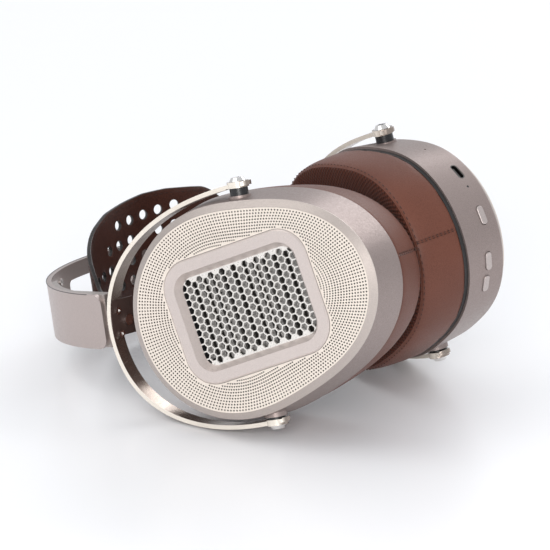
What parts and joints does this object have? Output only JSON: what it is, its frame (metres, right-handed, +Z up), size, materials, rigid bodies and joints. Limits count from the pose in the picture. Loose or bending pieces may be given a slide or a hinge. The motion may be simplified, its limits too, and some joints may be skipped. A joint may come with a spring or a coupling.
{
  "type": "over-ear headphones",
  "caption": "Over-ear headphones lying on their side: open-backed cups on C-shaped yokes, a metal arch, a perforated leather strap and leather ear pads.",
  "frame": {"origin": "on the table, below the middle of the headphones", "axes": "+Z up from the table; +X towards the cups' chin ends; +Y towards the left cup"},
  "size_m": [0.2246, 0.1664, 0.1202],
  "materials": {
    "champagne_metal": "fine satin champagne, slightly sparkling",
    "rim_metal": "champagne metal, polished smooth",
    "grille_metal": "light champagne perforated sheet, satin",
    "honeycomb_metal": "pale cream, semi gloss",
    "driver_frame_plastic": "black moulded, matt",
    "magnet_metal": "bright plated steel",
    "film": "thin metallised film",
    "baffle_plastic": "black moulded, matt",
    "dust_cloth": "fine black mesh cloth",
    "pad_ring_rubber": "black, matt",
    "pad_leather": "reddish brown, soft grain, stitched ring seam",
    "bush_plastic": "black acetal",
    "screw_chrome": "polished, cross recess",
    "yoke_steel": "warm polished edge, satin inner face",
    "band_metal": "satin champagne, finely brushed",
    "slider_metal": "brushed, with fine end grain",
    "strap_leather": "dark red brown, punched holes, black painted edge",
    "button_metal": "champagne, satin",
    "socket_metal": "dark plated steel",
    "lamp_plastic": "milky clear",
    "capsule_metal": "dark plated can",
    "battery_foil": "silver foil pouch",
    "board_green": "green solder resist"
  },
  "bodies": {
    "headband": {"band": "band_metal", "strap": "strap_leather", "band_screws": "screw_chrome", "right_guide": "band_metal", "right_strap_clamp": "band_metal", "right_clamp_screws": "screw_chrome", "left_guide": "band_metal", "left_strap_clamp": "band_metal", "left_clamp_screws": "screw_chrome"},
    "right_slider": {"right_stem": "slider_metal", "right_swivel_pin": "screw_chrome"},
    "right_yoke": {"right_yoke": "yoke_steel", "right_bridge": "slider_metal", "right_bridge_screws": "screw_chrome"},
    "right_cup": {"right_housing": "champagne_metal", "right_grille": "grille_metal", "right_bezel": "rim_metal", "right_honeycomb": "honeycomb_metal", "right_driver_frame": "driver_frame_plastic", "right_front_magnets": "magnet_metal", "right_rear_magnets": "magnet_metal", "right_diaphragm": "film", "right_baffle": "baffle_plastic", "right_dust_screen": "dust_cloth", "right_pad_ring": "pad_ring_rubber", "right_ear_pad": "pad_leather", "right_pivot_bushes": "bush_plastic", "right_pivot_screws": "screw_chrome"},
    "left_slider": {"left_stem": "slider_metal", "left_swivel_pin": "screw_chrome"},
    "left_yoke": {"left_yoke": "yoke_steel", "left_bridge": "slider_metal", "left_bridge_screws": "screw_chrome"},
    "left_cup": {"left_housing": "champagne_metal", "left_grille": "grille_metal", "left_bezel": "rim_metal", "left_honeycomb": "honeycomb_metal", "left_driver_frame": "driver_frame_plastic", "left_front_magnets": "magnet_metal", "left_rear_magnets": "magnet_metal", "left_diaphragm": "film", "left_baffle": "baffle_plastic", "left_dust_screen": "dust_cloth", "left_pad_ring": "pad_ring_rubber", "left_ear_pad": "pad_leather", "left_pivot_bushes": "bush_plastic", "left_pivot_screws": "screw_chrome", "left_charging_socket": "socket_metal", "left_lamp": "lamp_plastic", "left_microphone": "capsule_metal", "left_battery": "battery_foil", "left_circuit_board": "board_green"},
    "left_power_button": {"left_power_button": "button_metal"},
    "left_volume_up_button": {"left_volume_up_button": "button_metal"},
    "left_volume_down_button": {"left_volume_down_button": "button_metal"}
  },
  "joints": [
    {"name": "right_slide", "type": "slide", "parent": "headband", "child": "right_slider", "axis": [0.9826, 0, 0.1857], "range_m": [0, 0.015]},
    {"name": "right_swivel", "type": "hinge", "parent": "right_slider", "child": "right_yoke", "pos_m": [-0.02974, -0.0639, 0.03909], "axis": [0.9826, 0, 0.1857], "range_deg": [-4, 4]},
    {"name": "right_tilt", "type": "hinge", "parent": "right_yoke", "child": "right_cup", "pos_m": [0.0486, -0.0554, 0.06234], "axis": [0.2701, -0.0628, -0.9608], "range_deg": [0, 25]},
    {"name": "left_slide", "type": "slide", "parent": "headband", "child": "left_slider", "axis": [0.9826, 0, 0.1857], "range_m": [0, 0.015]},
    {"name": "left_swivel", "type": "hinge", "parent": "left_slider", "child": "left_yoke", "pos_m": [-0.0324, 0.0639, 0.04052], "axis": [0.9826, 0, 0.1857], "range_deg": [-4, 4]},
    {"name": "left_tilt", "type": "hinge", "parent": "left_yoke", "child": "left_cup", "pos_m": [0.04582, 0.0554, 0.06353], "axis": [-0.2701, -0.0628, 0.9608], "range_deg": [0, 25]},
    {"name": "power_press", "type": "slide", "parent": "left_cup", "child": "left_power_button", "axis": [-0.8622, 0.1749, -0.4753], "range_m": [0, 0.0005], "stiffness_N_per_m": 600},
    {"name": "volume_up_press", "type": "slide", "parent": "left_cup", "child": "left_volume_up_button", "axis": [-0.9892, 0.1333, 0.0611], "range_m": [0, 0.0005], "stiffness_N_per_m": 600},
    {"name": "volume_down_press", "type": "slide", "parent": "left_cup", "child": "left_volume_down_button", "axis": [-0.9445, 0.0846, 0.3174], "range_m": [0, 0.0005], "stiffness_N_per_m": 600}
  ]
}
